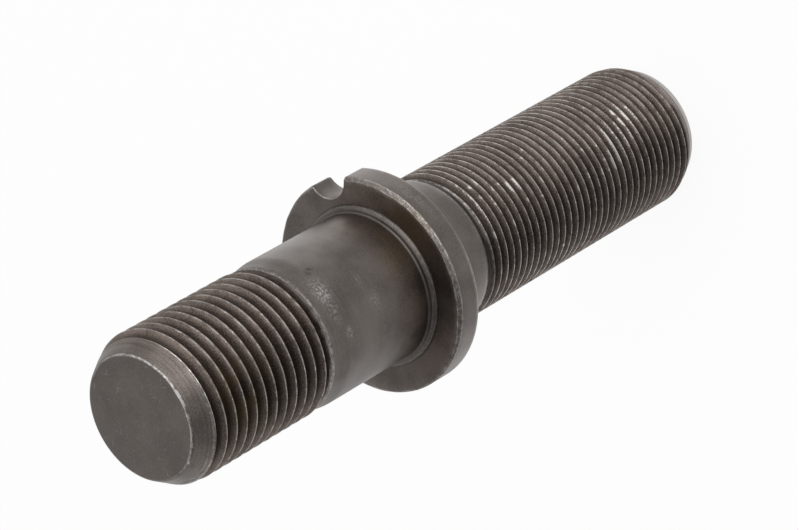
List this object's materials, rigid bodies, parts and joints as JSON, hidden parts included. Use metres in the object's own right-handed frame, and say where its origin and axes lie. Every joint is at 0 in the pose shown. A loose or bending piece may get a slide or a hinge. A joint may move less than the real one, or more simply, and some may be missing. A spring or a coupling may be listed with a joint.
{
  "type": "wheel stud",
  "caption": "Double-ended steel wheel stud with a fine thread for the nut, a coarse thread for the hub, a plain shank and a round collar with a half-round keying notch.",
  "frame": {"origin": "centre of the fine-threaded end face, on which the stud stands", "axes": "+Z along the stud's axis towards the coarse-threaded end, +X through the notch in the collar's rim"},
  "size_m": [0.0316, 0.032, 0.112],
  "materials": {
    "phosphated_steel": "dark phosphated and oiled steel, satin, worn bright on crests and edges"
  },
  "bodies": {
    "root": {"wheel_stud": "phosphated_steel"}
  },
  "joints": []
}
